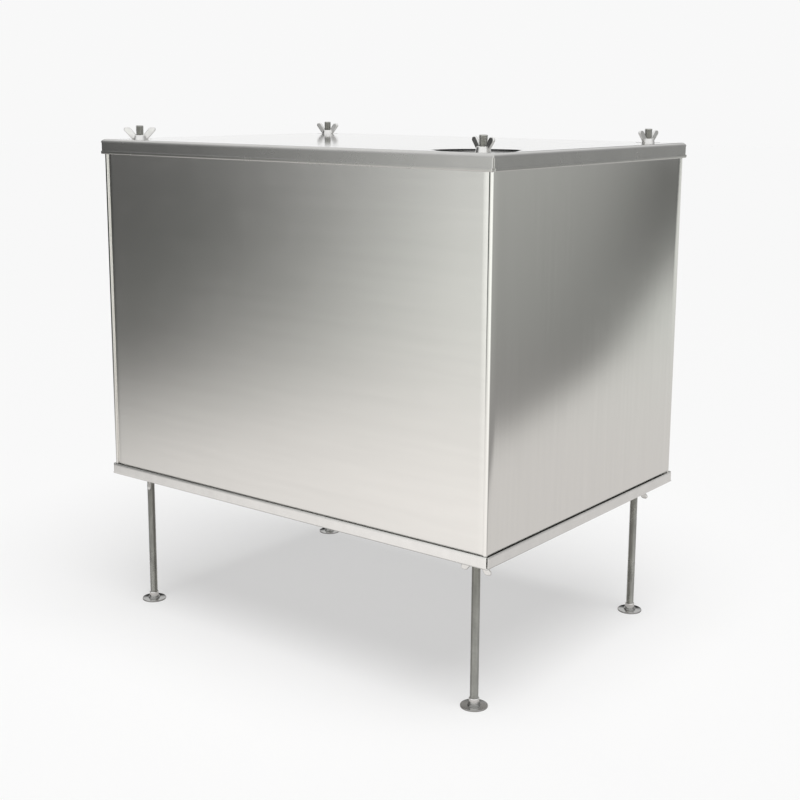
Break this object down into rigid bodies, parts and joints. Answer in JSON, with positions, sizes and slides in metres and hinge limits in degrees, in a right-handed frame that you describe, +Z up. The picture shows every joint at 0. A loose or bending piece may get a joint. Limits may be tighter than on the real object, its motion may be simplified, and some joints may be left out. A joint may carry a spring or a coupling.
{
  "type": "water bath",
  "caption": "Rectangular stainless water bath on threaded-rod legs: a tank in a sheet shell, with a hemmed lid held down by wing nuts and levelling disc feet.",
  "frame": {"origin": "on the floor, midway between the feet (bottom centre of the bounding box)", "axes": "+Z up along the rods; X along the wide front panel, which faces -Y; Y along the narrow sides"},
  "size_m": [0.4884, 0.3524, 0.514],
  "materials": {
    "panel_steel": "satin stainless sheet, softly reflective",
    "lid_steel": "bright rolled stainless sheet, nearly mirror-like on top",
    "tray_steel": "satin stainless sheet",
    "tank_steel": "satin stainless sheet",
    "rack_steel": "perforated stainless sheet",
    "threaded_rod": "plain steel thread, slightly dull and greenish grey",
    "washer_steel": "polished stainless",
    "wing_nut_steel": "cast stainless, tumbled bright",
    "foot_steel": "polished stainless",
    "gasket_silicone": "matt silicone sheet",
    "mineral_wool": "pressed mineral wool board"
  },
  "bodies": {
    "shell": {"lid_gasket": "gasket_silicone", "tank": "tank_steel", "tray": "tray_steel", "front_panel": "panel_steel", "back_panel": "panel_steel", "left_panel": "panel_steel", "right_panel": "panel_steel", "front_insulation": "mineral_wool", "back_insulation": "mineral_wool", "left_insulation": "mineral_wool", "right_insulation": "mineral_wool", "front_left_rod": "threaded_rod", "front_right_rod": "threaded_rod", "back_left_rod": "threaded_rod", "back_right_rod": "threaded_rod"},
    "lid": {"lid": "lid_steel"},
    "tank_rack": {"tank_rack": "rack_steel"},
    "front_left_lid_washer": {"front_left_lid_washer": "washer_steel"},
    "front_left_lid_wing_nut": {"front_left_lid_wing_nut": "wing_nut_steel"},
    "front_left_tray_washer": {"front_left_tray_washer": "washer_steel"},
    "front_left_tray_wing_nut": {"front_left_tray_wing_nut": "wing_nut_steel"},
    "front_left_foot_disc": {"front_left_foot_disc": "foot_steel"},
    "front_left_foot_collar": {"front_left_foot_collar": "foot_steel"},
    "front_right_lid_washer": {"front_right_lid_washer": "washer_steel"},
    "front_right_lid_wing_nut": {"front_right_lid_wing_nut": "wing_nut_steel"},
    "front_right_tray_washer": {"front_right_tray_washer": "washer_steel"},
    "front_right_tray_wing_nut": {"front_right_tray_wing_nut": "wing_nut_steel"},
    "front_right_foot_disc": {"front_right_foot_disc": "foot_steel"},
    "front_right_foot_collar": {"front_right_foot_collar": "foot_steel"},
    "back_left_lid_washer": {"back_left_lid_washer": "washer_steel"},
    "back_left_lid_wing_nut": {"back_left_lid_wing_nut": "wing_nut_steel"},
    "back_left_tray_washer": {"back_left_tray_washer": "washer_steel"},
    "back_left_tray_wing_nut": {"back_left_tray_wing_nut": "wing_nut_steel"},
    "back_left_foot_disc": {"back_left_foot_disc": "foot_steel"},
    "back_left_foot_collar": {"back_left_foot_collar": "foot_steel"},
    "back_right_lid_washer": {"back_right_lid_washer": "washer_steel"},
    "back_right_lid_wing_nut": {"back_right_lid_wing_nut": "wing_nut_steel"},
    "back_right_tray_washer": {"back_right_tray_washer": "washer_steel"},
    "back_right_tray_wing_nut": {"back_right_tray_wing_nut": "wing_nut_steel"},
    "back_right_foot_disc": {"back_right_foot_disc": "foot_steel"},
    "back_right_foot_collar": {"back_right_foot_collar": "foot_steel"}
  },
  "joints": [
    {"name": "lid_lift", "type": "slide", "parent": "shell", "child": "lid", "axis": [0, 0, 1], "range_m": [0, 0.2]},
    {"name": "rack_lift", "type": "slide", "parent": "shell", "child": "tank_rack", "axis": [0, 0, 1], "range_m": [0, 0.3]},
    {"name": "front_left_lid_nut_travel", "type": "slide", "parent": "lid", "child": "front_left_lid_washer", "axis": [0, 0, 1], "range_m": [0, 0.01531]},
    {"name": "front_left_lid_nut_turn", "type": "hinge", "parent": "front_left_lid_washer", "child": "front_left_lid_wing_nut", "pos_m": [-0.2138, -0.148, 0], "axis": [0, 0, 1], "range_deg": [0, 4410]},
    {"name": "front_left_tray_nut_travel", "type": "slide", "parent": "shell", "child": "front_left_tray_washer", "axis": [0, 0, -1], "range_m": [0, 0.02031]},
    {"name": "front_left_tray_nut_turn", "type": "hinge", "parent": "front_left_tray_washer", "child": "front_left_tray_wing_nut", "pos_m": [-0.2138, -0.148, 0], "axis": [0, 0, -1], "range_deg": [0, 5850]},
    {"name": "front_left_foot_travel", "type": "slide", "parent": "shell", "child": "front_left_foot_disc", "axis": [0, 0, -1], "range_m": [0, 0.00406]},
    {"name": "front_left_foot_turn", "type": "hinge", "parent": "front_left_foot_disc", "child": "front_left_foot_collar", "pos_m": [-0.2138, -0.148, 0], "axis": [0, 0, -1], "range_deg": [0, 1170]},
    {"name": "front_right_lid_nut_travel", "type": "slide", "parent": "lid", "child": "front_right_lid_washer", "axis": [0, 0, 1], "range_m": [0, 0.01531]},
    {"name": "front_right_lid_nut_turn", "type": "hinge", "parent": "front_right_lid_washer", "child": "front_right_lid_wing_nut", "pos_m": [0.2138, -0.148, 0], "axis": [0, 0, 1], "range_deg": [0, 4410]},
    {"name": "front_right_tray_nut_travel", "type": "slide", "parent": "shell", "child": "front_right_tray_washer", "axis": [0, 0, -1], "range_m": [0, 0.02031]},
    {"name": "front_right_tray_nut_turn", "type": "hinge", "parent": "front_right_tray_washer", "child": "front_right_tray_wing_nut", "pos_m": [0.2138, -0.148, 0], "axis": [0, 0, -1], "range_deg": [0, 5850]},
    {"name": "front_right_foot_travel", "type": "slide", "parent": "shell", "child": "front_right_foot_disc", "axis": [0, 0, -1], "range_m": [0, 0.00406]},
    {"name": "front_right_foot_turn", "type": "hinge", "parent": "front_right_foot_disc", "child": "front_right_foot_collar", "pos_m": [0.2138, -0.148, 0], "axis": [0, 0, -1], "range_deg": [0, 1170]},
    {"name": "back_left_lid_nut_travel", "type": "slide", "parent": "lid", "child": "back_left_lid_washer", "axis": [0, 0, 1], "range_m": [0, 0.01531]},
    {"name": "back_left_lid_nut_turn", "type": "hinge", "parent": "back_left_lid_washer", "child": "back_left_lid_wing_nut", "pos_m": [-0.2138, 0.148, 0], "axis": [0, 0, 1], "range_deg": [0, 4410]},
    {"name": "back_left_tray_nut_travel", "type": "slide", "parent": "shell", "child": "back_left_tray_washer", "axis": [0, 0, -1], "range_m": [0, 0.02031]},
    {"name": "back_left_tray_nut_turn", "type": "hinge", "parent": "back_left_tray_washer", "child": "back_left_tray_wing_nut", "pos_m": [-0.2138, 0.148, 0], "axis": [0, 0, -1], "range_deg": [0, 5850]},
    {"name": "back_left_foot_travel", "type": "slide", "parent": "shell", "child": "back_left_foot_disc", "axis": [0, 0, -1], "range_m": [0, 0.00406]},
    {"name": "back_left_foot_turn", "type": "hinge", "parent": "back_left_foot_disc", "child": "back_left_foot_collar", "pos_m": [-0.2138, 0.148, 0], "axis": [0, 0, -1], "range_deg": [0, 1170]},
    {"name": "back_right_lid_nut_travel", "type": "slide", "parent": "lid", "child": "back_right_lid_washer", "axis": [0, 0, 1], "range_m": [0, 0.01531]},
    {"name": "back_right_lid_nut_turn", "type": "hinge", "parent": "back_right_lid_washer", "child": "back_right_lid_wing_nut", "pos_m": [0.2138, 0.148, 0], "axis": [0, 0, 1], "range_deg": [0, 4410]},
    {"name": "back_right_tray_nut_travel", "type": "slide", "parent": "shell", "child": "back_right_tray_washer", "axis": [0, 0, -1], "range_m": [0, 0.02031]},
    {"name": "back_right_tray_nut_turn", "type": "hinge", "parent": "back_right_tray_washer", "child": "back_right_tray_wing_nut", "pos_m": [0.2138, 0.148, 0], "axis": [0, 0, -1], "range_deg": [0, 5850]},
    {"name": "back_right_foot_travel", "type": "slide", "parent": "shell", "child": "back_right_foot_disc", "axis": [0, 0, -1], "range_m": [0, 0.00406]},
    {"name": "back_right_foot_turn", "type": "hinge", "parent": "back_right_foot_disc", "child": "back_right_foot_collar", "pos_m": [0.2138, 0.148, 0], "axis": [0, 0, -1], "range_deg": [0, 1170]}
  ],
  "couplings": [
    {"joint": "front_left_lid_nut_turn", "follows": "front_left_lid_nut_travel", "rad_per_m": 5026.5},
    {"joint": "front_left_tray_nut_turn", "follows": "front_left_tray_nut_travel", "rad_per_m": 5026.5},
    {"joint": "front_left_foot_turn", "follows": "front_left_foot_travel", "rad_per_m": 5026.5},
    {"joint": "front_right_lid_nut_turn", "follows": "front_right_lid_nut_travel", "rad_per_m": 5026.5},
    {"joint": "front_right_tray_nut_turn", "follows": "front_right_tray_nut_travel", "rad_per_m": 5026.5},
    {"joint": "front_right_foot_turn", "follows": "front_right_foot_travel", "rad_per_m": 5026.5},
    {"joint": "back_left_lid_nut_turn", "follows": "back_left_lid_nut_travel", "rad_per_m": 5026.5},
    {"joint": "back_left_tray_nut_turn", "follows": "back_left_tray_nut_travel", "rad_per_m": 5026.5},
    {"joint": "back_left_foot_turn", "follows": "back_left_foot_travel", "rad_per_m": 5026.5},
    {"joint": "back_right_lid_nut_turn", "follows": "back_right_lid_nut_travel", "rad_per_m": 5026.5},
    {"joint": "back_right_tray_nut_turn", "follows": "back_right_tray_nut_travel", "rad_per_m": 5026.5},
    {"joint": "back_right_foot_turn", "follows": "back_right_foot_travel", "rad_per_m": 5026.5}
  ]
}
